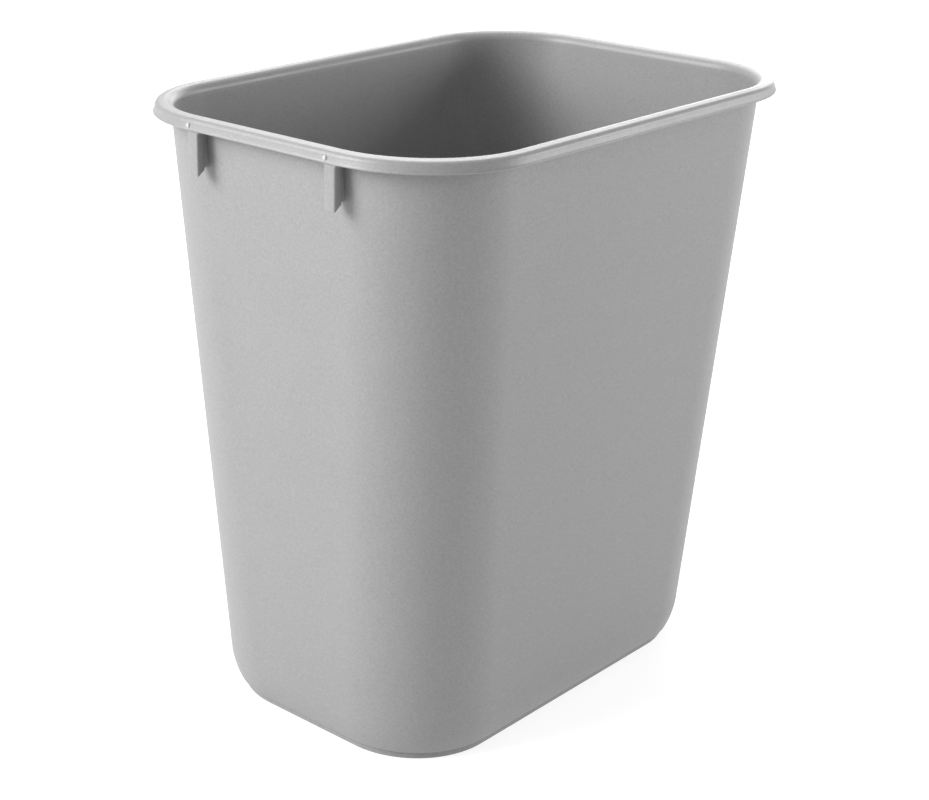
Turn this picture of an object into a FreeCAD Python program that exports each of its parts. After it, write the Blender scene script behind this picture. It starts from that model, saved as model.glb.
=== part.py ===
import FreeCAD, Part
import os
import Sketcher

# One-piece moulded wastebasket: a tapered tub with rounded corners, a heel that curves in to a
# foot ring, a rim rolled outward and down, and two nesting lugs under the rim at each end.
# Frame: origin on the floor under the middle, +X along the length, +Y across the width, +Z up.
# The single moulding is divided where its features meet, so each feature is a solid of its own
# and neighbours touch face to face.

DIMENSIONS = {
    "overall_length": 365.8,
    "overall_width": 260.4,
    "overall_height": 381.0,
    "lip_corner_radius": 73.1,     # outline of the rim's lower lip
    "rim_depth": 7.4,              # top of the rim down to its lip
    "rim_flare": 0.8,              # lip beyond the top outline of the rim
    "rim_thickness": 2.3,          # roof of the rim
    "lip_thickness": 2.4,
    "rim_outer_round": 2.4,
    "rim_inner_round": 6.0,        # the wall bends outward into the rim with this radius
    "lip_round": 0.6,
    "rim_draft": 3.5,              # degrees, inside of the rim
    "rim_overhang": 10.6,          # lip beyond the wall below it
    "base_length": 298.0,          # wall outline carried down straight to the floor
    "base_width": 197.7,
    "base_corner_radius": 61.8,
    "wall_thickness": 2.1,
    "heel_radius": 47.2,
    "heel_height": 19.0,           # the heel starts this far above the foot ring
    "foot_height": 5.6,
    "foot_inset": 3.0,             # foot ring inside the lower edge of the heel
    "foot_thickness": 2.4,
    "floor_thickness": 2.4,
    "lug_width": 7.8,
    "lug_offset": 53.0,            # lug centre from the middle of the end wall
    "lug_reach": 181.3,            # outer face of the lug from the middle of the basket
    "lug_tip_height": 347.2,
    "lug_back_height": 351.0,      # lower edge of the lug's pad where it meets the web
    "lug_depth": 5.4,              # the pad, out from the web
    "lug_web": 3.6,                # web that joins the pad to the wall
    "lug_round": 1.0,
    "nub_radius": 1.7,
    "nub_height": 0.7,
    "nub_shift": 2.4,              # nub from the lug's centre, the same turn at both ends
    "seam_margin": 1.0,            # dividing plane inside the tangent line of the corner
}

doc = FreeCAD.newDocument("wastebasket")
sheet = doc.addObject("Spreadsheet::Sheet", "Dims")
for row, (alias, value) in enumerate(DIMENSIONS.items(), start=1):
    sheet.set(f"A{row}", alias)
    sheet.set(f"B{row}", str(value))
    sheet.setAlias(f"B{row}", alias)
doc.recompute()

FREE = FreeCAD.Vector(0, 0, 0)
UP = FreeCAD.Vector(0, 0, 1)


def cell(alias):
    return f"Dims.{alias}"


def value_of(expression):
    return float(sheet.evalExpression(expression))


LIP_LEVEL = "(Dims.overall_height - Dims.rim_depth)"
FLOOR_LEVEL = "(Dims.foot_height + Dims.floor_thickness)"
HEEL_TOP = "(Dims.foot_height + Dims.heel_height)"


def tapered(base, top, level):
    """A wall size at a level, from its size at the floor and at the lip level."""
    return f"({base} + ({top} - {base}) * ({level}) / {LIP_LEVEL})"


def wall_outline(level, inset="0"):
    """Length, width and corner radius of the wall's outline at a level."""
    length = tapered(cell("base_length"), "(Dims.overall_length - 2 * Dims.rim_overhang)", level)
    width = tapered(cell("base_width"), "(Dims.overall_width - 2 * Dims.rim_overhang)", level)
    radius = tapered(
        cell("base_corner_radius"), "(Dims.lip_corner_radius - Dims.rim_overhang)", level
    )
    return f"{length} - 2 * {inset}", f"{width} - 2 * {inset}", f"{radius} - {inset}"


def rounding(radius, rise):
    """How far a rounding of some radius has drawn in, a rise away from where it starts."""
    return f"({radius} - sqrt(({radius}) ^ 2 - ({rise}) ^ 2))"


def lip_outline(inset="0"):
    """Length, width and corner radius of the rim's outline, taken in by an inset."""
    return (
        f"Dims.overall_length - 2 * {inset}",
        f"Dims.overall_width - 2 * {inset}",
        f"Dims.lip_corner_radius - {inset}",
    )


def foot_outline(inset="0"):
    """The foot ring's outline: the lower edge of the heel taken in by the foot's inset."""
    heel = rounding("Dims.heel_radius", "Dims.heel_height")
    return wall_outline(cell("foot_height"), f"({heel} + Dims.foot_inset + {inset})")


def new_body(label):
    body = doc.addObject("PartDesign::Body", label)
    body.Label = label
    return body


def new_sketch(body, name, plane="XY_Plane", level=None):
    """A sketch on one of the body's own origin planes, raised to a level where one is given."""
    sketch = body.newObject("Sketcher::SketchObject", name)
    support = next(f for f in body.Origin.OriginFeatures if f.Role == plane)
    sketch.AttachmentSupport = (support, [""])
    sketch.MapMode = "FlatFace"
    if level is not None:
        sketch.setExpression("AttachmentOffset.Base.z", level)
    return sketch


def bind(sketch, constraint, name, expression):
    """Adds a named dimension to a sketch and binds it to the sheet."""
    index = sketch.addConstraint(constraint)
    sketch.renameConstraint(index, name)
    sketch.setExpression(f"Constraints.{name}", expression)


def add_rounded_rectangle(sketch, outline, tag=""):
    """Four lines and four tangent arcs about the sketch origin, with bound sizes."""
    length, width, radius = (value_of(e) for e in outline)
    r = radius
    x, y = length / 2 - r, width / 2 - r
    first = sketch.GeometryCount
    centres = [(x, -y), (x, y), (-x, y), (-x, -y)]
    starts = [(-x, -y - r), (x + r, -y), (x, y + r), (-x - r, y)]
    ends = [(x, -y - r), (x + r, y), (-x, y + r), (-x - r, -y)]
    for turn in range(4):
        start = FreeCAD.Vector(*starts[turn], 0)
        end = FreeCAD.Vector(*ends[turn], 0)
        sketch.addGeometry(Part.LineSegment(start, end), False)
        circle = Part.Circle(FreeCAD.Vector(*centres[turn], 0), UP, r)
        angle = (turn - 1) * 1.5707963267948966
        sketch.addGeometry(Part.ArcOfCircle(circle, angle, angle + 1.5707963267948966), False)
    for step in range(8):
        here, there = first + step, first + (step + 1) % 8
        sketch.addConstraint(Sketcher.Constraint("Tangent", here, 2, there, 1))
    for step, kind in ((0, "Horizontal"), (2, "Vertical"), (4, "Horizontal"), (6, "Vertical")):
        sketch.addConstraint(Sketcher.Constraint(kind, first + step))
    for step in (3, 5, 7):
        sketch.addConstraint(Sketcher.Constraint("Equal", first + 1, first + step))
    sketch.addConstraint(Sketcher.Constraint("Symmetric", first + 1, 3, first + 5, 3, -1, 1))
    bind(sketch, Sketcher.Constraint("DistanceX", first + 6, 1, first + 2, 1, length),
         f"length{tag}", outline[0])
    bind(sketch, Sketcher.Constraint("DistanceY", first, 1, first + 4, 1, width),
         f"width{tag}", outline[1])
    bind(sketch, Sketcher.Constraint("Radius", first + 1, r), f"corner{tag}", outline[2])


def add_polygon(sketch, points):
    """A closed polygon whose corners are bound to expressions, one pair for each corner."""
    corners = [FreeCAD.Vector(value_of(x), value_of(y), 0) for x, y in points]
    count = len(points)
    for index in range(count):
        line = Part.LineSegment(corners[index], corners[(index + 1) % count])
        sketch.addGeometry(line, False)
    for index in range(count):
        following = (index + 1) % count
        sketch.addConstraint(Sketcher.Constraint("Coincident", index, 2, following, 1))
    for index, (x, y) in enumerate(points):
        for axis, expression, size in (("X", x, corners[index].x), ("Y", y, corners[index].y)):
            constraint = Sketcher.Constraint(f"Distance{axis}", -1, 1, index, 1, size)
            bind(sketch, constraint, f"corner{index}{axis.lower()}", expression)


def outline_sketch(body, name, level, outline):
    sketch = new_sketch(body, name, level=level)
    add_rounded_rectangle(sketch, outline)
    return sketch


def loft(body, name, low, high):
    """A ruled loft between two outlines: flat drafted walls and conical corners."""
    feature = body.newObject("PartDesign::AdditiveLoft", name)
    feature.Profile = low
    feature.Sections = [high]
    feature.Ruled = True
    return feature


def edges_at(feature, level, largest=True):
    """Names of the level edges of a feature at a height: the outer loop or the inner one."""
    found = []
    for index, edge in enumerate(feature.Shape.Edges, start=1):
        if all(abs(v.Z - level) < 1e-4 for v in edge.Vertexes) and edge.BoundBox.ZLength < 1e-4:
            found.append((index, edge))
    loops = Part.sortEdges([edge for _, edge in found])
    loops.sort(key=lambda loop: Part.Wire(loop).BoundBox.XLength, reverse=largest)
    chosen = loops[0]
    return [f"Edge{i}" for i, edge in found if any(edge.isSame(other) for other in chosen)]


def fillet(body, name, base, edges, radius):
    feature = body.newObject("PartDesign::Fillet", name)
    feature.Base = (base, edges)
    feature.setExpression("Radius", radius)
    return feature


def stack(body, name, stations):
    """A smooth loft through outlines at rising levels, each taken in by its own inset."""
    sketches = [outline_sketch(body, f"{name}_{index}", level, wall_outline(level, inset))
                for index, (level, inset) in enumerate(stations)]
    feature = body.newObject("PartDesign::AdditiveLoft", name)
    feature.Profile = sketches[0]
    feature.Sections = sketches[1:]
    return feature


def tapered_block(label, inset, bottom):
    """A solid tub shape: straight drafted walls above the heel, which curves in to the bottom."""
    body = new_body(label)
    stations = []
    for share in (0, 0.25, 0.5, 0.75, 1):
        level = f"({bottom} + {share} * ({HEEL_TOP} - {bottom}))"
        drawn_in = rounding(f"(Dims.heel_radius - {inset})", f"{HEEL_TOP} - {level}")
        stations.append((level, f"({inset} + {drawn_in})"))
    stack(body, f"{label}_heel", stations)
    low = outline_sketch(body, f"{label}_low", HEEL_TOP, wall_outline(HEEL_TOP, inset))
    high = outline_sketch(body, f"{label}_high", LIP_LEVEL, wall_outline(LIP_LEVEL, inset))
    body.Tip = loft(body, f"{label}_loft", low, high)
    return body


def rim_ring():
    """The rolled rim: roof, flared skirt down to the lip, and the top of the wall inside."""
    body = new_body("rim_ring")
    top = DIMENSIONS["overall_height"]
    lip = outline_sketch(body, "lip_outline", LIP_LEVEL, lip_outline())
    block = body.newObject("PartDesign::Pad", "rim_block")
    block.Profile = lip
    block.setExpression("Length", "Dims.rim_depth")
    block.setExpression("TaperAngle", "-atan(Dims.rim_flare / Dims.rim_depth)")
    doc.recompute()
    rounded = fillet(body, "rim_outer_round", block, edges_at(block, top), "Dims.rim_outer_round")
    doc.recompute()
    inside = wall_outline(LIP_LEVEL, "Dims.wall_thickness")
    mouth = body.newObject("PartDesign::Pocket", "mouth")
    mouth.Profile = outline_sketch(body, "mouth_outline", LIP_LEVEL, inside)
    mouth.Reversed = True
    mouth.setExpression("Length", "Dims.rim_depth")
    mouth.setExpression("TaperAngle", "Dims.rim_draft")
    doc.recompute()
    assert mouth.Shape.Volume < rounded.Shape.Volume - 1
    lipped = fillet(body, "rim_inner_round", mouth, edges_at(mouth, top, False),
                    "Dims.rim_inner_round")
    doc.recompute()
    groove = new_sketch(body, "groove", level=LIP_LEVEL)
    add_rounded_rectangle(groove, lip_outline("Dims.lip_thickness"), "_outer")
    add_rounded_rectangle(groove, wall_outline(LIP_LEVEL), "_inner")
    channel = body.newObject("PartDesign::Pocket", "rim_channel")
    channel.Profile = groove
    channel.Reversed = True
    channel.setExpression("Length", "Dims.rim_depth - Dims.rim_thickness")
    doc.recompute()
    assert channel.Shape.Volume < lipped.Shape.Volume - 1
    roof = top - DIMENSIONS["rim_thickness"]
    bend = fillet(body, "rim_bend", channel, edges_at(channel, roof, False),
                  "Dims.rim_inner_round - Dims.wall_thickness")
    doc.recompute()
    lip_level = value_of(LIP_LEVEL)
    body.Tip = fillet(body, "lip_round", bend, edges_at(bend, lip_level), "Dims.lip_round")
    return body


def floor_panel():
    """The flat bottom of the basket, inside the foot ring's line."""
    body = new_body("floor_panel")
    sketch = outline_sketch(body, "floor_outline", cell("foot_height"),
                            foot_outline("Dims.foot_thickness"))
    pad = body.newObject("PartDesign::Pad", "floor_pad")
    pad.Profile = sketch
    pad.setExpression("Length", "Dims.floor_thickness")
    return body


def foot_ring():
    """The low upright ring the basket stands on."""
    body = new_body("foot_ring")
    sketch = new_sketch(body, "foot_outline")
    add_rounded_rectangle(sketch, foot_outline(), "_outer")
    add_rounded_rectangle(sketch, foot_outline("Dims.foot_thickness"), "_inner")
    pad = body.newObject("PartDesign::Pad", "foot_pad")
    pad.Profile = sketch
    pad.setExpression("Length", "Dims.foot_height")
    return body


def sector(label, plane, length, reversed_way):
    """A tall wedge that takes the flat of one wall, just inside its corners' tangent lines."""
    body = new_body(label)
    sketch = new_sketch(body, f"{label}_outline", plane)
    top = cell("overall_height")
    low = f"({wall_outline('0')[length]}) / 2 - ({wall_outline('0')[2]}) - Dims.seam_margin"
    high = f"({wall_outline(top)[length]}) / 2 - ({wall_outline(top)[2]}) - Dims.seam_margin"
    add_polygon(sketch, [
        (f"-({low})", "-1"),
        (low, "-1"),
        (high, f"{top} + 1"),
        (f"-({high})", f"{top} + 1"),
    ])
    pad = body.newObject("PartDesign::Pad", f"{label}_pad")
    pad.Profile = sketch
    pad.setExpression("Length", "Dims.overall_length")
    pad.Reversed = reversed_way
    return body


def boolean(kind, label, base, tool):
    feature = doc.addObject(f"Part::{kind}", label)
    feature.Label = label
    feature.Base = base
    feature.Tool = tool
    return feature


def quadrant(label, x_side, y_side):
    """A box over one quarter of the plan."""
    box = doc.addObject("Part::Box", label)
    box.setExpression("Length", "Dims.overall_length")
    box.setExpression("Width", "Dims.overall_width")
    box.setExpression("Height", "Dims.overall_height + 2")
    box.setExpression("Placement.Base.x", "0" if x_side > 0 else "-Dims.overall_length")
    box.setExpression("Placement.Base.y", "0" if y_side > 0 else "-Dims.overall_width")
    box.setExpression("Placement.Base.z", "-1")
    return box


def divide(ring, names, sectors, cross, quadrants):
    """Divides a ring into four straight runs and four corners, and returns the pieces."""
    pieces = [boolean("Common", names["run"].format(side), ring, wedge)
              for side, wedge in sectors.items()]
    corners = boolean("Cut", names["corner"].format("all"), ring, cross)
    pieces += [boolean("Common", names["corner"].format(side), corners, box)
               for side, box in quadrants.items()]
    return pieces


def lug(label, x_side, y_side):
    """A nesting lug: a pad hanging under the lip, slanted underneath, on a web from the wall."""
    body = new_body(label)
    wall = {level: f"({wall_outline(level)[0]}) / 2"
            for level in (LIP_LEVEL, "Dims.lug_back_height")}
    sign = "" if x_side > 0 else "-"
    back = f"{sign}(Dims.lug_reach - Dims.lug_depth)"
    profiles = {
        "web": [
            (f"{sign}({wall['Dims.lug_back_height']})", "Dims.lug_back_height"),
            (back, "Dims.lug_back_height"),
            (back, LIP_LEVEL),
            (f"{sign}({wall[LIP_LEVEL]})", LIP_LEVEL),
        ],
        "pad": [
            (back, "Dims.lug_back_height"),
            (f"{sign}Dims.lug_reach", "Dims.lug_tip_height"),
            (f"{sign}Dims.lug_reach", LIP_LEVEL),
            (back, LIP_LEVEL),
        ],
    }
    for part, width in (("web", "Dims.lug_web"), ("pad", "Dims.lug_width")):
        sketch = new_sketch(body, f"{label}_{part}_profile", "XZ_Plane")
        add_polygon(sketch, profiles[part])
        pad = body.newObject("PartDesign::Pad", f"{label}_{part}")
        pad.Profile = sketch
        pad.setExpression("Length", width)
        pad.Midplane = True
        doc.recompute()
    reach = DIMENSIONS["lug_reach"]
    outer = [f"Edge{i}" for i, edge in enumerate(pad.Shape.Edges, start=1)
             if all(abs(abs(v.X) - reach) < 1e-4 for v in edge.Vertexes)
             and abs(edge.Vertexes[0].Y - edge.Vertexes[-1].Y) < 1e-4]
    body.Tip = fillet(body, f"{label}_round", pad, outer, "Dims.lug_round")
    body.setExpression("Placement.Base.y", f"{'' if y_side > 0 else '-'}Dims.lug_offset")
    return body


def nub(label, x_side, y_side, rim):
    """A small raised round on the skirt of the rim above a lug."""
    cone = doc.addObject("Part::Cone", f"{label}_cone")
    cone.setExpression("Radius1", "Dims.nub_radius + 0.6")
    cone.setExpression("Radius2", "Dims.nub_radius - 0.6")
    cone.setExpression("Height", "2 * Dims.nub_height")
    cone.Placement = FreeCAD.Placement(
        FREE, FreeCAD.Rotation(FreeCAD.Vector(0, 1, 0), 90 * x_side))
    sign = "" if x_side > 0 else "-"
    cone.setExpression("Placement.Base.x",
                       f"{sign}(Dims.overall_length / 2 - 2 * Dims.nub_height)")
    beside = "-" if x_side > 0 else "+"
    cone.setExpression("Placement.Base.y",
                       f"{'' if y_side > 0 else '-'}Dims.lug_offset {beside} Dims.nub_shift")
    cone.setExpression("Placement.Base.z", f"{LIP_LEVEL} + Dims.nub_radius + 1")
    return boolean("Cut", label, cone, rim)


outer_block = tapered_block("outer_block", "0", "Dims.foot_height")
cavity = tapered_block("cavity", "Dims.wall_thickness", FLOOR_LEVEL)
floor = floor_panel()
foot = foot_ring()
rim = rim_ring()
shell = boolean("Cut", "wall_and_floor", outer_block, cavity)
wall = boolean("Cut", "wall_ring", shell, floor)

SIDES = {
    "front": ("XZ_Plane", 0, False),
    "rear": ("XZ_Plane", 0, True),
    "right": ("YZ_Plane", 1, False),
    "left": ("YZ_Plane", 1, True),
}
CORNERS = {
    "front_left": (-1, -1),
    "front_right": (1, -1),
    "rear_left": (-1, 1),
    "rear_right": (1, 1),
}
sectors = {side: sector(f"sector_{side}", *how) for side, how in SIDES.items()}
cross = doc.addObject("Part::MultiFuse", "cross")
cross.Shapes = list(sectors.values())
quadrants = {side: quadrant(f"quadrant_{side}", *how) for side, how in CORNERS.items()}

subparts = [floor, foot]
subparts += divide(wall, {"run": "{}_wall", "corner": "{}_corner_wall"},
                   sectors, cross, quadrants)
subparts += divide(rim, {"run": "{}_rim", "corner": "{}_corner_rim"},
                   sectors, cross, quadrants)
subparts += [lug(f"{side}_nesting_lug", *how) for side, how in CORNERS.items()]
subparts += [nub(f"{side}_rim_nub", *how, rim) for side, how in CORNERS.items()]
doc.recompute()

for item in doc.Objects:
    if "Invalid" in item.State or "Error" in item.State:
        raise RuntimeError(f"{item.Label} failed: {item.State}")
for item in subparts:
    shape = item.Shape
    if shape.isNull() or not shape.isValid() or len(shape.Solids) != 1:
        raise RuntimeError(f"{item.Label} is not one valid solid: {len(shape.Solids)}")

os.makedirs("parts", exist_ok=True)
for item in subparts:
    item.Shape.exportStep(f"parts/{item.Label}.step")
    box = item.Shape.BoundBox
    print(f"{item.Label:28s} {item.Shape.Volume:10.0f} mm3  z {box.ZMin:.2f} to {box.ZMax:.2f}")
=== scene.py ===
import math

import bmesh
import bpy
from mathutils import Matrix, Vector


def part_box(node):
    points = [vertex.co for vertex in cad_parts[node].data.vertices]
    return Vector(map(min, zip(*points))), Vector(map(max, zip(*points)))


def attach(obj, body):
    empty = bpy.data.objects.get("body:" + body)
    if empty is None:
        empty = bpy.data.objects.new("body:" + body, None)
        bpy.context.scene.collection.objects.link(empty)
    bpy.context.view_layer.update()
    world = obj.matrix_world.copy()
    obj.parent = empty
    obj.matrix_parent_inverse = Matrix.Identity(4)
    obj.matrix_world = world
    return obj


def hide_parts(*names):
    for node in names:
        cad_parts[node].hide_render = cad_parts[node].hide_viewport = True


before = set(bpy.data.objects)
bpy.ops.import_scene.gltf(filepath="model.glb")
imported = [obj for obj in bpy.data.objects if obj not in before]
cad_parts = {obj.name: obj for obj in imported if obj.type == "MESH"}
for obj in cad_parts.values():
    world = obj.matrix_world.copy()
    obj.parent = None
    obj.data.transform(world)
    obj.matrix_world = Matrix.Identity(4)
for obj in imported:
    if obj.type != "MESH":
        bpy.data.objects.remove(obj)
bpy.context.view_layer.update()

# A deskside wastebasket: one polyethylene moulding, seen as its wall with the heel, its rolled
# rim, its floor, its foot ring, four nesting lugs and four rim nubs. Lengths are in millimetres
# up to the point where MM turns them to metres.
MM = 0.001
SAME_POINT = 0.001 * MM     # points closer than this are one

# ---- sizes of the moulding -------------------------------------------------------------------
WALL_THICKNESS = 2.1
BASE_LENGTH = 298.0         # wall outline carried down straight to the floor
BASE_WIDTH = 197.7
BASE_CORNER_RADIUS = 61.8
LIP_CORNER_RADIUS = 73.1
HEEL_RADIUS = 47.2
HEEL_HEIGHT = 19.0
HEEL_EDGE_ROUND = 0.8
FLOOR_FILLET = 5.7
FOOT_INSET = 3.0            # foot ring inside the lower edge of the heel
FOOT_THICKNESS = 2.4
FOOT_ROUND = 0.8
FOOT_DRAFT = 0.05           # each side of the foot ring draws in by this much at the tread
RIM_INNER_ROUND = 6.0       # the wall bends outward into the rim with this radius
RIM_OUTER_ROUND = 3.3
RIM_CROWN = 0.45            # fall of the rim's top towards its outer edge
RIM_ROOF = 2.3              # plastic over the channel under the rim
CHANNEL_FILLET = 1.2        # inside the channel, behind the outer rounding
LIP_THICKNESS = 2.4
LIP_INNER_ROUND = 0.4
LIP_LEDGE = 0.5             # parting-line ledge that stands out at the foot of the skirt
LIP_LEDGE_HEIGHT = 1.2
LIP_LEDGE_CHAMFER = 0.2     # the skirt runs out onto the ledge from this far above it
SKIRT_LEAN = 0.55           # skirt leans out by this much on its way down
LUG_WIDTH = 7.8
LUG_DEPTH = 5.4             # outer pad of the lug; a narrower web joins it to the wall
LUG_WEB_WIDTH = 2.6
LUG_EDGE_BREAK = 0.3        # the pad's rear edges
LUG_EDGE_ROUND = 0.9
LUG_ROUND_CORNER = 2.4      # the pad's two lower corners, seen from outside: left and right
LUG_SHARP_CORNER = 0.5
LUG_TOP_FILLET = 2.7
LUG_RISE = 3.8              # the pad's underside rises by this much towards the web
LUG_BURIED = 1.0            # depth to which the lug runs on into the lip, and the web into the pad
NUB_PROFILE = [(1.1, 1.0), (0.5, 1.0), (0.28, 0.93), (0.12, 0.78), (0.03, 0.52), (0.0, 0.2)]
FLOOR_SINK = 0.5            # the floor's middle lies this much lower
FLOOR_FLAT = 0.12           # share of the way in that stays flat
GATE_RADIUS = 4.0           # gate mark under the middle of the floor
GATE_DEPTH = 0.9
ARC_STEPS = 28              # faces round one corner of the plan
RUN_STEPS = 14              # faces along one straight side
SWEPT_CREASE = 38           # edges sharper than this many degrees stay crisp
LUG_CREASE = 50


def mm_box(node):
    """Lowest and highest corner of a node, in millimetres."""
    low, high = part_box(node)
    return low / MM, high / MM


RIM_LOW, RIM_HIGH = mm_box("left_rim")
WALL_LOW, WALL_HIGH = mm_box("left_wall")
SIDE_LOW, SIDE_HIGH = mm_box("front_wall")
FLOOR_LOW, FLOOR_HIGH = mm_box("floor_panel")
LUG_LOW, LUG_HIGH = mm_box("front_left_nesting_lug")
NUB_LOW, NUB_HIGH = mm_box("front_left_rim_nub")
HEIGHT = RIM_HIGH.z
LIP_LEVEL = RIM_LOW.z
WALL_HALF_LENGTH = -WALL_LOW.x
WALL_HALF_WIDTH = -SIDE_LOW.y
FOOT_HEIGHT = FLOOR_LOW.z
FLOOR_LEVEL = FLOOR_HIGH.z
OVERHANG = -RIM_LOW.x - WALL_HALF_LENGTH
HEEL_TOP = FOOT_HEIGHT + HEEL_HEIGHT


# ---- drawing a section: points are (out from the wall's outer face, height) ------------------
def arc(centre, radius, start, end, steps):
    """Points of a round stretch, its angles in degrees up from straight out."""
    points = []
    for index in range(steps + 1):
        angle = math.radians(start + (end - start) * index / steps)
        points.append((centre[0] + radius * math.cos(angle), centre[1] + radius * math.sin(angle)))
    return points


def straight(start, end, steps=1, hold=0.35):
    """Points between two ends of a straight stretch, with one close to each end.

    The close ones keep a rounding's shading from running out into the flat."""
    length = math.dist(start, end)
    shares = [index / steps for index in range(1, steps)]
    if length > 3 * hold:
        shares = [hold / length] + shares + [1 - hold / length]
    return [(start[0] + (end[0] - start[0]) * share, start[1] + (end[1] - start[1]) * share)
            for share in shares]


def join(*stretches):
    """One run of points from several stretches, with straight lines between them."""
    points = list(stretches[0])
    for stretch in stretches[1:]:
        points += straight(points[-1], stretch[0])
        points += stretch
    return points


def heel_draw(radius, level):
    """How far a heel of some radius has drawn in at a level."""
    rise = max(0.0, HEEL_TOP - level)
    return radius - math.sqrt(radius * radius - rise * rise)


def heel(radius, wall, low, steps):
    """Points down the heel from its top to a level, for the outer or the inner face."""
    levels = [HEEL_TOP + (low - HEEL_TOP) * index / steps for index in range(steps + 1)]
    return [(wall - heel_draw(radius, level), level) for level in levels]


def floor_seam():
    """Where the floor takes over from the wall: at the inner face of the foot ring."""
    return -heel_draw(HEEL_RADIUS, FOOT_HEIGHT) - FOOT_INSET - FOOT_THICKNESS


def wall_section():
    """The wall from the rim down: outer face, heel, underside, floor fillet, inner face."""
    edge = heel_draw(HEEL_RADIUS, FOOT_HEIGHT)
    inner_radius = HEEL_RADIUS - WALL_THICKNESS
    outer = [(0.0, LIP_LEVEL)] + straight((0.0, LIP_LEVEL), (0.0, HEEL_TOP), 16)
    outer += heel(HEEL_RADIUS, 0.0, FOOT_HEIGHT + HEEL_EDGE_ROUND, 12)
    lean = math.asin(HEEL_HEIGHT / HEEL_RADIUS)
    corner = (-edge - HEEL_EDGE_ROUND * math.cos(lean), FOOT_HEIGHT + HEEL_EDGE_ROUND)
    outer += arc(corner, HEEL_EDGE_ROUND, -math.degrees(lean) - 8, -90, 4)
    under = [(floor_seam(), FOOT_HEIGHT), (floor_seam(), FLOOR_LEVEL)]
    tilt = math.asin((HEEL_TOP - FLOOR_LEVEL - FLOOR_FILLET) / (inner_radius - FLOOR_FILLET))
    centre = (-WALL_THICKNESS - inner_radius + (inner_radius - FLOOR_FILLET) * math.cos(tilt),
              FLOOR_LEVEL + FLOOR_FILLET)
    inner = arc(centre, FLOOR_FILLET, -90, -math.degrees(tilt), 8)
    inner += reversed(heel(inner_radius, -WALL_THICKNESS, inner[-1][1], 8)[:-1])
    inner += straight((-WALL_THICKNESS, HEEL_TOP), (-WALL_THICKNESS, LIP_LEVEL), 16)
    inner += [(-WALL_THICKNESS, LIP_LEVEL)]
    return outer + under + inner


def rim_section():
    """The rim: up the inside, over the crown, down the skirt, round the lip, up the channel."""
    inside = -WALL_THICKNESS
    taper = (WALL_HALF_LENGTH - BASE_LENGTH / 2) / LIP_LEVEL
    lean = math.atan(taper)
    start = HEIGHT - RIM_INNER_ROUND * (1 - math.sin(lean))
    bend = (inside + taper * (start - LIP_LEVEL) + RIM_INNER_ROUND * math.cos(lean),
            HEIGHT - RIM_INNER_ROUND)
    skirt = OVERHANG - LIP_LEDGE - SKIRT_LEAN
    shoulder = (skirt - RIM_OUTER_ROUND, HEIGHT - RIM_CROWN - RIM_OUTER_ROUND)
    ledge = LIP_LEVEL + LIP_LEDGE_HEIGHT
    nose = LIP_LEDGE_HEIGHT / 2
    under = OVERHANG - LIP_THICKNESS
    roof = HEIGHT - RIM_ROOF
    channel = RIM_INNER_ROUND - WALL_THICKNESS
    return join(
        [(inside, LIP_LEVEL)],
        arc(bend, RIM_INNER_ROUND, 180 - math.degrees(lean), 90, 14),
        arc(shoulder, RIM_OUTER_ROUND, 86, 2, 12),
        [(skirt + SKIRT_LEAN, ledge + LIP_LEDGE_CHAMFER)],
        arc((OVERHANG - nose, LIP_LEVEL + nose), nose, 35, -80, 9),
        arc((under + LIP_INNER_ROUND, LIP_LEVEL + LIP_INNER_ROUND), LIP_INNER_ROUND, -90, -180, 4),
        arc((under - CHANNEL_FILLET, roof - CHANNEL_FILLET), CHANNEL_FILLET, 0, 90, 6),
        arc((channel, roof - channel), channel, 90, 180, 8),
        [(0.0, LIP_LEVEL)],
    )


def foot_section():
    """The foot ring: outer face with a little draft, a rounded tread, inner face."""
    inner = floor_seam()
    outer = inner + FOOT_THICKNESS
    tread = FOOT_ROUND
    return join(
        [(outer, FOOT_HEIGHT)],
        arc((outer - tread - FOOT_DRAFT, tread), tread, 0, -90, 5),
        arc((inner + tread + FOOT_DRAFT, tread), tread, -90, -180, 5),
        [(inner, FOOT_HEIGHT)],
    )


def floor_section():
    """The floor as (share of the outline, height): top with a slight sink, gate mark below."""
    top = []
    for index in range(17):
        share = 1.0 - index / 16
        inward = max(0.0, 1.0 - share - FLOOR_FLAT) / (1.0 - FLOOR_FLAT)
        top.append((share, FLOOR_LEVEL - FLOOR_SINK * inward * inward * (3 - 2 * inward)))
    gate = GATE_RADIUS / (BASE_WIDTH / 2)
    edge = gate * 1.1
    under = [(0.0, FOOT_HEIGHT + GATE_DEPTH), (gate * 0.7, FOOT_HEIGHT + GATE_DEPTH),
             (gate, FOOT_HEIGHT + GATE_DEPTH * 2 / 3), (edge, FOOT_HEIGHT)]
    under += [(edge + (1.0 - edge) * index / 12, FOOT_HEIGHT) for index in range(1, 13)]
    return top + under


# ---- node trees ------------------------------------------------------------------------------
def add(tree, kind, inputs=None, **settings):
    """Adds a node with its settings, and its input values or links by name or index."""
    node = tree.nodes.new(kind)
    for name, value in settings.items():
        setattr(node, name, value)
    for key, value in (inputs or {}).items():
        source = value.outputs[0] if isinstance(value, bpy.types.Node) else value
        if isinstance(source, bpy.types.NodeSocket):
            tree.links.new(source, node.inputs[key])
        else:
            node.inputs[key].default_value = source
    return node


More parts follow.
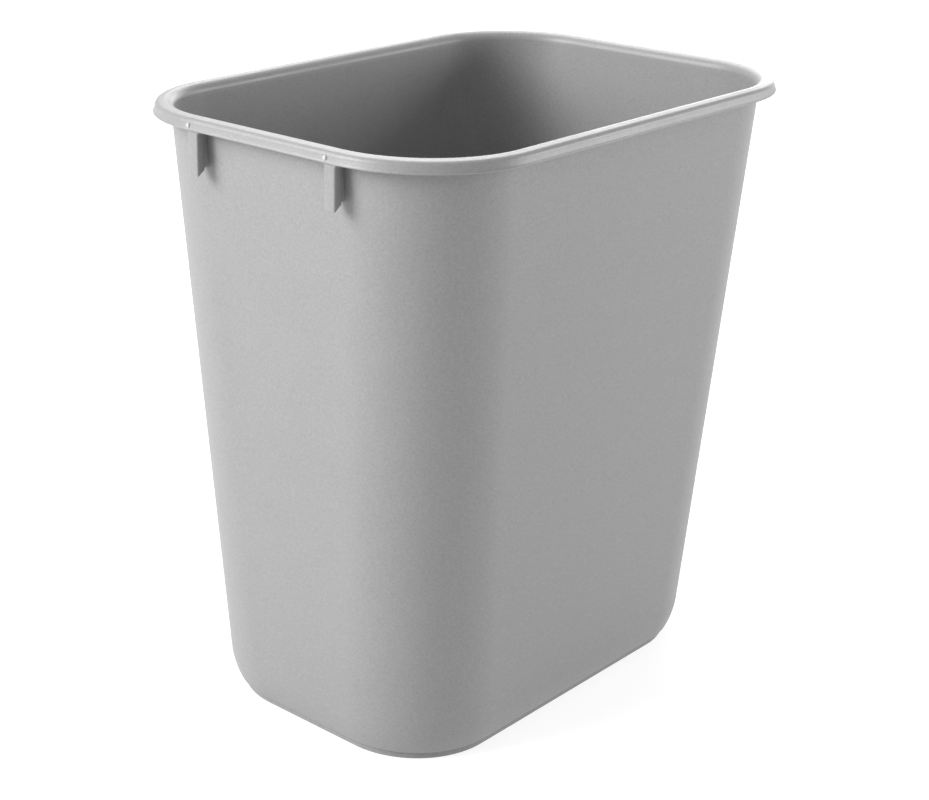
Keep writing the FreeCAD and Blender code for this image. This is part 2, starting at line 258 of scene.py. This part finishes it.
def new_geometry_tree(name, sizes):
    """A geometry tree with a geometry input, named inputs for its sizes and one output."""
    tree = bpy.data.node_groups.new(name, "GeometryNodeTree")
    face = tree.interface
    face.new_socket("Geometry", in_out="INPUT", socket_type="NodeSocketGeometry")
    for label, kind in sizes:
        face.new_socket(label, in_out="INPUT", socket_type=f"NodeSocket{kind}")
    face.new_socket("Geometry", in_out="OUTPUT", socket_type="NodeSocketGeometry")
    return tree, tree.nodes.new("NodeGroupInput"), tree.nodes.new("NodeGroupOutput")


def outline_sweep_tree():
    """Carries a section round a rounded rectangle whose size and corners follow the height.

    The section's points are (out from the wall, share of the outline, height)."""
    tree, given, out = new_geometry_tree("outline sweep", [
        ("Floor outline", "Vector"),
        ("Lip outline", "Vector"),
        ("Lowest level", "Float"),
        ("Lip level", "Float"),
        ("Arc steps", "Int"),
        ("Run steps", "Int"),
        ("Material", "Material"),
    ])
    arc_steps, run_steps = given.outputs["Arc steps"], given.outputs["Run steps"]

    def maths(operation, *values):
        return add(tree, "ShaderNodeMath", dict(enumerate(values)), operation=operation)

    def vector(operation, *values):
        return add(tree, "ShaderNodeVectorMath", dict(enumerate(values)), operation=operation)

    count = add(tree, "GeometryNodeAttributeDomainSize", {"Geometry": given.outputs["Geometry"]})
    quarter = maths("ADD", arc_steps, run_steps)
    around = maths("MULTIPLY_ADD", quarter, 4.0, 1.0)
    grid = add(tree, "GeometryNodeMeshGrid", {"Vertices X": around, "Vertices Y": count})
    index = add(tree, "GeometryNodeInputIndex")
    row = maths("FLOOR", maths("DIVIDE", index, count))
    station = maths("SUBTRACT", index, maths("MULTIPLY", row, count))
    sample = add(tree, "GeometryNodeSampleIndex",
                 {"Geometry": given.outputs["Geometry"], "Index": station},
                 data_type="FLOAT_VECTOR", domain="POINT")
    tree.links.new(add(tree, "GeometryNodeInputPosition").outputs[0], sample.inputs["Value"])
    section = add(tree, "ShaderNodeSeparateXYZ", {0: sample})
    outward, share, level = section.outputs

    turn = maths("FLOOR", maths("DIVIDE", row, quarter))
    step = maths("SUBTRACT", row, maths("MULTIPLY", turn, quarter))
    bend = maths("MINIMUM", maths("DIVIDE", step, arc_steps), 1.0)
    angle = maths("MULTIPLY", maths("ADD", turn, bend), math.pi / 2)
    along = maths("DIVIDE", maths("MAXIMUM", maths("SUBTRACT", step, arc_steps), 0.0), run_steps)
    wave = maths("COSINE", maths("MULTIPLY", along, math.pi))
    eased = maths("MULTIPLY_ADD", wave, -0.5, 0.5)
    diagonal = maths("MULTIPLY_ADD", turn, math.pi / 2, math.pi / 4)
    side_x = maths("SIGN", maths("COSINE", diagonal))
    side_y = maths("SIGN", maths("SINE", diagonal))
    here = add(tree, "ShaderNodeCombineXYZ", {0: side_x, 1: side_y})
    ahead = add(tree, "ShaderNodeCombineXYZ", {0: maths("MULTIPLY", side_y, -1.0), 1: side_x})
    corner = add(tree, "ShaderNodeMix", {"Factor": eased, 4: here, 5: ahead},
                 data_type="VECTOR")
    height = add(tree, "ShaderNodeMapRange", {
        "Value": level, "From Min": given.outputs["Lowest level"],
        "From Max": given.outputs["Lip level"], "To Max": 1.0,
        "To Min": maths("DIVIDE", given.outputs["Lowest level"], given.outputs["Lip level"]),
    })
    outline = add(tree, "ShaderNodeMix", {
        "Factor": height, 4: given.outputs["Floor outline"], 5: given.outputs["Lip outline"],
    }, data_type="VECTOR")
    radius = add(tree, "ShaderNodeSeparateXYZ", {0: outline.outputs[1]}).outputs[2]
    flat_radius = add(tree, "ShaderNodeCombineXYZ", {0: radius, 1: radius, 2: radius})
    centre = vector("MULTIPLY", vector("SUBTRACT", outline.outputs[1], flat_radius),
                    corner.outputs[1])
    ray = add(tree, "ShaderNodeCombineXYZ", {0: maths("COSINE", angle), 1: maths("SINE", angle)})
    reach = add(tree, "ShaderNodeVectorMath",
                {0: ray, "Scale": maths("ADD", radius, outward)}, operation="SCALE")
    plan = add(tree, "ShaderNodeVectorMath",
               {0: vector("ADD", centre, reach), "Scale": share}, operation="SCALE")
    lift = add(tree, "ShaderNodeCombineXYZ", {2: level})
    placed = add(tree, "GeometryNodeSetPosition",
                 {"Geometry": grid, "Position": vector("ADD", plan, lift)})
    merged = add(tree, "GeometryNodeMergeByDistance", {"Geometry": placed, "Distance": SAME_POINT})
    real = add(tree, "GeometryNodeRealizeInstances", {"Geometry": merged})
    finished = add(tree, "GeometryNodeSetMaterial",
                   {"Geometry": real, "Material": given.outputs["Material"]})
    tree.links.new(finished.outputs[0], out.inputs[0])
    return tree


def repeat_tree():
    """Places a shape at the four points where the end walls carry a lug, turned to face out."""
    tree, given, out = new_geometry_tree("at the four lugs", [
        ("Spacing along", "Float"),
        ("Spacing across", "Float"),
        ("Material", "Material"),
    ])
    points = add(tree, "GeometryNodeMeshGrid", {
        "Size X": given.outputs["Spacing along"], "Size Y": given.outputs["Spacing across"],
        "Vertices X": 2, "Vertices Y": 2,
    })
    position = add(tree, "GeometryNodeInputPosition")
    along = add(tree, "ShaderNodeSeparateXYZ", {0: position}).outputs[0]
    far_end = add(tree, "ShaderNodeMath", {0: along, 1: 0.0}, operation="GREATER_THAN")
    half_turn = add(tree, "ShaderNodeMath", {0: far_end, 1: math.pi}, operation="MULTIPLY")
    turn = add(tree, "ShaderNodeCombineXYZ", {2: half_turn})
    placed = add(tree, "GeometryNodeInstanceOnPoints", {
        "Points": points, "Instance": given.outputs["Geometry"], "Rotation": turn,
    })
    real = add(tree, "GeometryNodeRealizeInstances", {"Geometry": placed})
    finished = add(tree, "GeometryNodeSetMaterial",
                   {"Geometry": real, "Material": given.outputs["Material"]})
    tree.links.new(finished.outputs[0], out.inputs[0])
    return tree


def run_tree(name, source, tree, sizes, sharp_angle):
    """Runs a geometry tree on a mesh and returns a plain, closed piece with outward faces."""
    holder = bpy.data.objects.new(name + "_source", source)
    bpy.context.scene.collection.objects.link(holder)
    modifier = holder.modifiers.new("shape", "NODES")
    modifier.node_group = tree
    for item in tree.interface.items_tree:
        if item.in_out == "INPUT" and item.name in sizes:
            modifier[item.identifier] = sizes[item.name]
    graph = bpy.context.evaluated_depsgraph_get()
    mesh = bpy.data.meshes.new_from_object(holder.evaluated_get(graph))
    bpy.data.objects.remove(holder)
    skin = bmesh.new()
    skin.from_mesh(mesh)
    bmesh.ops.remove_doubles(skin, verts=skin.verts, dist=SAME_POINT)
    bmesh.ops.recalc_face_normals(skin, faces=skin.faces)
    skin.to_mesh(mesh)
    skin.free()
    mesh.name = name
    mesh.shade_smooth()
    mesh.set_sharp_from_angle(angle=math.radians(sharp_angle))
    piece = bpy.data.objects.new(name, mesh)
    bpy.context.scene.collection.objects.link(piece)
    return piece


def swept(name, section, tree, material, scaled=False):
    """A piece made by carrying a closed section round the basket's outline.

    A scaled section runs in to the middle: its first numbers are shares of the floor's outline."""
    loop = section + section[:1]
    mesh = bpy.data.meshes.new(name)
    if scaled:
        corners = [(floor_seam() * MM, share, level * MM) for share, level in loop]
    else:
        corners = [(out * MM, 1.0, level * MM) for out, level in loop]
    mesh.from_pydata(corners, [], [])
    return run_tree(name, mesh, tree, {
        "Floor outline": [v * MM for v in (BASE_LENGTH / 2, BASE_WIDTH / 2, BASE_CORNER_RADIUS)],
        "Lip outline": [v * MM for v in (WALL_HALF_LENGTH, WALL_HALF_WIDTH,
                                         LIP_CORNER_RADIUS - OVERHANG)],
        "Lowest level": FOOT_HEIGHT * MM,
        "Lip level": LIP_LEVEL * MM,
        "Arc steps": ARC_STEPS,
        "Run steps": RUN_STEPS,
        "Material": material,
    }, SWEPT_CREASE)


# ---- lugs and nubs, drawn with their outer face at zero and pointing to the left ---------------
def lug_outline(low, inset):
    """Outline of a lug's pad as (across, height), from the lip down one side and up the other."""
    half = LUG_WIDTH / 2 - inset
    flare = arc((half + LUG_TOP_FILLET, LIP_LEVEL - LUG_TOP_FILLET), LUG_TOP_FILLET, 90, 180, 6)
    top = (flare[0][0], LIP_LEVEL + LUG_BURIED)
    sides = []
    for turn in (LUG_ROUND_CORNER, LUG_SHARP_CORNER):
        foot = arc((half - turn, low + inset + turn), turn, 0, -90, 6)
        sides.append([top] + flare + straight(flare[-1], foot[0], 4) + foot)
    return sides[0] + [(-across, level) for across, level in reversed(sides[1])]


def loft(shape, rings):
    """Closed skin over rings of equal length, with a flat cap at each end."""
    rows = [[shape.verts.new([v * MM for v in point]) for point in ring] for ring in rings]
    for near, far in zip(rows, rows[1:]):
        for index in range(len(near)):
            after = (index + 1) % len(near)
            shape.faces.new((near[index], near[after], far[after], far[index]))
    shape.faces.new(rows[0])
    shape.faces.new(rows[-1])


def lug_shape():
    """One nesting lug: pad with a rounded front edge and a slanted underside, and its web."""
    shape = bmesh.new()
    rings = []
    for turn in (90, 67.5, 45, 22.5, 0):
        depth = LUG_EDGE_ROUND * (1 - math.sin(math.radians(turn)))
        inset = LUG_EDGE_ROUND * (1 - math.cos(math.radians(turn)))
        rings.append((depth, inset))
    rings += [(LUG_EDGE_ROUND + 0.4, 0.0), (LUG_DEPTH - LUG_EDGE_BREAK, 0.0),
              (LUG_DEPTH, LUG_EDGE_BREAK)]
    loft(shape, [[(depth, across, level) for across, level in
                  lug_outline(LUG_LOW.z + LUG_RISE * depth / LUG_DEPTH, inset)]
                 for depth, inset in rings])
    half = LUG_WEB_WIDTH / 2
    low, high = LUG_LOW.z + LUG_RISE, LIP_LEVEL + LUG_BURIED
    into_wall = WALL_THICKNESS - 0.3
    reach = -LUG_LOW.x - WALL_HALF_LENGTH + into_wall
    web = [(half, high), (half, low + half), (half * 0.7, low + half * 0.3), (0.0, low),
           (-half * 0.7, low + half * 0.3), (-half, low + half), (-half, high)]
    loft(shape, [[(depth, across, level) for across, level in web]
                 for depth in (LUG_DEPTH - LUG_BURIED, reach)])
    mesh = bpy.data.meshes.new("lug_shape")
    shape.to_mesh(mesh)
    shape.free()
    return mesh


def nub_shape():
    """One rim nub: a low pip with a rounded top, its back buried in the skirt.

    NUB_PROFILE is (depth behind the pip's top, share of its radius)."""
    shape = bmesh.new()
    radius = (NUB_HIGH.z - NUB_LOW.z) / 2
    level = (NUB_HIGH.z + NUB_LOW.z) / 2
    beside = (NUB_LOW.y + NUB_HIGH.y - LUG_LOW.y - LUG_HIGH.y) / 2
    turns = [math.radians(angle) for angle in range(0, 360, 15)]
    loft(shape, [[(depth, beside + radius * share * math.cos(turn),
                   level + radius * share * math.sin(turn)) for turn in turns]
                 for depth, share in NUB_PROFILE])
    mesh = bpy.data.meshes.new("nub_shape")
    shape.to_mesh(mesh)
    shape.free()
    return mesh


def repeated(name, shape, reach, across, tree, material):
    """Four copies of a shape, two on each end, at a distance out and across from the middle."""
    return run_tree(name, shape, tree, {
        "Spacing along": 2 * reach * MM,
        "Spacing across": 2 * across * MM,
        "Material": material,
    }, LUG_CREASE)


# ---- materials -------------------------------------------------------------------------------
def colour(text):
    """Linear colour from an sRGB hex code."""
    parts = [int(text[index:index + 2], 16) / 255 for index in (1, 3, 5)]
    return [v / 12.92 if v <= 0.04045 else ((v + 0.055) / 1.055) ** 2.4 for v in parts] + [1.0]


def across_mm(size):
    """Texture scale for a pattern whose features are this many millimetres across."""
    return 1.0 / (size * MM)


def polyethylene(name, dark, light, roughness, stipple, stipple_depth, scuffs=0.0):
    """Grey polyethylene: cloudy pigment, a soft uneven sheen, fine mould stipple, light scuffs."""
    material = bpy.data.materials.new(name)
    material.use_nodes = True
    tree = material.node_tree
    tree.nodes.clear()
    place = add(tree, "ShaderNodeTexCoord").outputs["Object"]
    cloud = add(tree, "ShaderNodeTexNoise",
                {"Vector": place, "Scale": across_mm(34.0), "Detail": 4.0, "Roughness": 0.55})
    speck = add(tree, "ShaderNodeTexNoise",
                {"Vector": place, "Scale": across_mm(1.3), "Detail": 3.0, "Roughness": 0.7})
    blend = add(tree, "ShaderNodeMath", {0: cloud, 1: 0.14, 2: speck}, operation="MULTIPLY_ADD")
    pigment = add(tree, "ShaderNodeValToRGB", {0: blend})
    pigment.color_ramp.elements[0].position = 0.37
    pigment.color_ramp.elements[0].color = colour(dark)
    pigment.color_ramp.elements[1].position = 0.77
    pigment.color_ramp.elements[1].color = colour(light)
    # Handling marks: long, thin and faint, drawn out down the wall the way baskets are nested.
    drawn = add(tree, "ShaderNodeVectorMath", {0: place, 1: (1.0, 1.0, 0.12)}, operation="MULTIPLY")
    mark = add(tree, "ShaderNodeTexNoise",
               {"Vector": drawn, "Scale": across_mm(3.5), "Detail": 3.0, "Roughness": 0.6})
    scuff = add(tree, "ShaderNodeMapRange",
                {"Value": mark, "From Min": 0.62, "From Max": 0.76, "To Max": scuffs})
    worn = add(tree, "ShaderNodeMix", {"Factor": scuff, 6: pigment, 7: colour("#a7a7a7")},
               data_type="RGBA")
    sheen = add(tree, "ShaderNodeMapRange", {
        "Value": cloud, "From Min": 0.3, "From Max": 0.7,
        "To Min": roughness - 0.03, "To Max": roughness + 0.04,
    })
    rough = add(tree, "ShaderNodeMath", {0: scuff, 1: 0.4, 2: sheen}, operation="MULTIPLY_ADD")
    grain = add(tree, "ShaderNodeTexNoise",
                {"Vector": place, "Scale": across_mm(stipple), "Detail": 2.0, "Roughness": 0.5})
    swell = add(tree, "ShaderNodeTexNoise", {"Vector": place, "Scale": across_mm(48.0)})
    wavy = add(tree, "ShaderNodeBump", {"Height": swell, "Strength": 0.5, "Distance": 0.5 * MM})
    bumps = add(tree, "ShaderNodeBump", {"Height": grain, "Strength": 1.0,
                                         "Distance": stipple_depth * MM, "Normal": wavy})
    skin = add(tree, "ShaderNodeBsdfPrincipled", {
        "Base Color": worn.outputs[2], "Roughness": rough, "IOR": 1.5, "Normal": bumps,
    })
    out = add(tree, "ShaderNodeOutputMaterial")
    tree.links.new(skin.outputs[0], out.inputs["Surface"])
    return material


# Outside and inside of the wall: the mould's fine stipple breaks the sheen into a soft glow.
WALL_PLASTIC = polyethylene("stippled_grey_polyethylene", "#787878", "#878787",
                            0.50, 0.9, 0.06, 0.05)
# The rim is cut smoother in the mould, so it catches a cleaner line of light.
RIM_PLASTIC = polyethylene("smooth_grey_polyethylene", "#7c7c7c", "#898989",
                           0.42, 1.2, 0.014, 0.04)
# The floor's top has dulled under liners and dust.
FLOOR_PLASTIC = polyethylene("dulled_grey_polyethylene", "#767676", "#878787",
                             0.58, 0.9, 0.035, 0.16)
# The foot ring drags over floors: rougher and paler in streaks.
FOOT_PLASTIC = polyethylene("scuffed_grey_polyethylene", "#757575", "#878787",
                            0.60, 1.1, 0.04, 0.30)
# Lugs and nubs come straight off plain cut steel: a tight, slightly glossier skin.
LUG_PLASTIC = polyethylene("as_cut_grey_polyethylene", "#7b7b7b", "#888888",
                           0.40, 1.4, 0.012, 0.06)
# The pips are coloured paler than the skirt: a painted highlight that stands in for the light their
# rounded tops catch.
PAINTED_HIGHLIGHT_PIP_PLASTIC = polyethylene("painted_highlight_pale_polyethylene", "#a3a3a3", "#b3b3b3",
                           0.32, 1.4, 0.012, 0.06)


# ---- the basket ------------------------------------------------------------------------------
SWEEP = outline_sweep_tree()
AT_LUGS = repeat_tree()
SIDES = ("front", "rear", "left", "right")
CORNERS = ("front_left", "front_right", "rear_left", "rear_right")

PIECES = {
    "tub_wall": (swept("tub_wall", wall_section(), SWEEP, WALL_PLASTIC),
                 [f"{side}_wall" for side in SIDES] + [f"{side}_corner_wall" for side in CORNERS]),
    "rolled_rim": (swept("rolled_rim", rim_section(), SWEEP, RIM_PLASTIC),
                   [f"{side}_rim" for side in SIDES] + [f"{side}_corner_rim" for side in CORNERS]),
    "tub_floor": (swept("tub_floor", floor_section(), SWEEP, FLOOR_PLASTIC, scaled=True),
                  ["floor_panel"]),
    "foot_band": (swept("foot_band", foot_section(), SWEEP, FOOT_PLASTIC), ["foot_ring"]),
    "nesting_lugs": (repeated("nesting_lugs", lug_shape(), -LUG_LOW.x,
                              -(LUG_LOW.y + LUG_HIGH.y) / 2, AT_LUGS, LUG_PLASTIC),
                     [f"{side}_nesting_lug" for side in CORNERS]),
    "rim_pips": (repeated("rim_pips", nub_shape(), -NUB_LOW.x,
                          -(LUG_LOW.y + LUG_HIGH.y) / 2, AT_LUGS, PAINTED_HIGHLIGHT_PIP_PLASTIC),
                 [f"{side}_rim_nub" for side in CORNERS]),
}
for piece, nodes in PIECES.values():
    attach(piece, "root")
    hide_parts(*nodes)


# ---- floor, light and camera -----------------------------------------------------------------
TABLE_GLOW = 0.76           # share of the floor's white that comes from the lit table below it


def studio_floor():
    """A wide white light table: matt, and lit from below so that shadows on it stay faint."""
    mesh = bpy.data.meshes.new("studio_floor")
    reach = 9.0
    mesh.from_pydata([(-reach, -reach, 0), (reach, -reach, 0), (reach, reach, 0),
                      (-reach, reach, 0)], [], [(0, 1, 2, 3)])
    floor = bpy.data.objects.new("studio_floor", mesh)
    bpy.context.scene.collection.objects.link(floor)
    material = bpy.data.materials.new("lit_white_acrylic")
    material.use_nodes = True
    tree = material.node_tree
    tree.nodes.clear()
    place = add(tree, "ShaderNodeTexCoord").outputs["Object"]
    fibre = add(tree, "ShaderNodeTexNoise", {"Vector": place, "Scale": across_mm(2.0)})
    tint = add(tree, "ShaderNodeMix", {"Factor": fibre, 6: colour("#9f9f9f"), 7: colour("#a2a2a2")},
               data_type="RGBA")
    matt = add(tree, "ShaderNodeBsdfDiffuse", {"Color": tint.outputs[2]})
    glow = add(tree, "ShaderNodeEmission", {"Strength": TABLE_GLOW})
    lit = add(tree, "ShaderNodeAddShader", {0: matt, 1: glow})
    out = add(tree, "ShaderNodeOutputMaterial")
    tree.links.new(lit.outputs[0], out.inputs["Surface"])
    mesh.materials.append(material)


def softbox(name, azimuth, elevation, distance, size, power, aim=(0.0, 0.0, 0.2)):
    """A square soft light; azimuth 0 stands in front and looks along +Y, 90 stands at the left."""
    data = bpy.data.lights.new(name, "AREA")
    data.shape = "SQUARE"
    data.size = size
    data.energy = power
    light = bpy.data.objects.new(name, data)
    turn, rise = math.radians(azimuth), math.radians(elevation)
    toward = Vector((-math.sin(turn) * math.cos(rise), -math.cos(turn) * math.cos(rise),
                     math.sin(rise)))
    light.matrix_world = Matrix.Translation(Vector(aim) + toward * distance) @ \
        toward.to_track_quat("Z", "Y").to_matrix().to_4x4()
    light.visible_camera = False
    bpy.context.scene.collection.objects.link(light)


def white_room(strength):
    """Even white light from all round."""
    world = bpy.data.worlds.new("white_room")
    world.use_nodes = True
    back = world.node_tree.nodes["Background"]
    back.inputs["Color"].default_value = (1.0, 1.0, 1.0, 1.0)
    back.inputs["Strength"].default_value = strength
    bpy.context.scene.world = world


def stand_camera():
    """A long lens in front of the left front corner, above the rim."""
    azimuth, elevation, roll = (math.radians(v) for v in (-47.889, 21.095, 0.733))
    back = Vector((math.sin(azimuth) * math.cos(elevation),
                   -math.cos(azimuth) * math.cos(elevation), math.sin(elevation)))
    right = Vector((math.cos(azimuth), math.sin(azimuth), 0.0))
    upward = back.cross(right)
    across = right * math.cos(roll) + upward * math.sin(roll)
    upright = upward * math.cos(roll) - right * math.sin(roll)
    data = bpy.data.cameras.new("camera")
    data.sensor_width = 36.0
    data.lens = 73.70
    data.shift_x = 0.080
    data.clip_end = 50.0
    camera = bpy.data.objects.new("camera", data)
    camera.matrix_world = Matrix.Translation((-0.87777, -0.72762, 0.61581)) @ \
        Matrix((across, upright, back)).transposed().to_4x4()
    bpy.context.scene.collection.objects.link(camera)
    bpy.context.scene.camera = camera


studio_floor()
softbox("left_low_softbox", 112, 20, 2.4, 1.0, 31.0)
softbox("left_softbox", 120, 32, 2.4, 1.2, 50.0)
softbox("right_front_softbox", -45, 13, 2.4, 0.8, 26.0)
softbox("right_softbox", -70, 13, 2.4, 1.1, 9.0)
softbox("right_rear_softbox", -112, 13, 2.4, 1.1, 19.0)
softbox("rear_high_softbox", -140, 58, 2.4, 1.3, 45.0)
softbox("far_table_softbox", 0, 90, 1.6, 2.0, 54.0, aim=(2.3, 2.1, 0.0))
white_room(0.49)
stand_camera()
bpy.context.scene.view_settings.view_transform = "Standard"
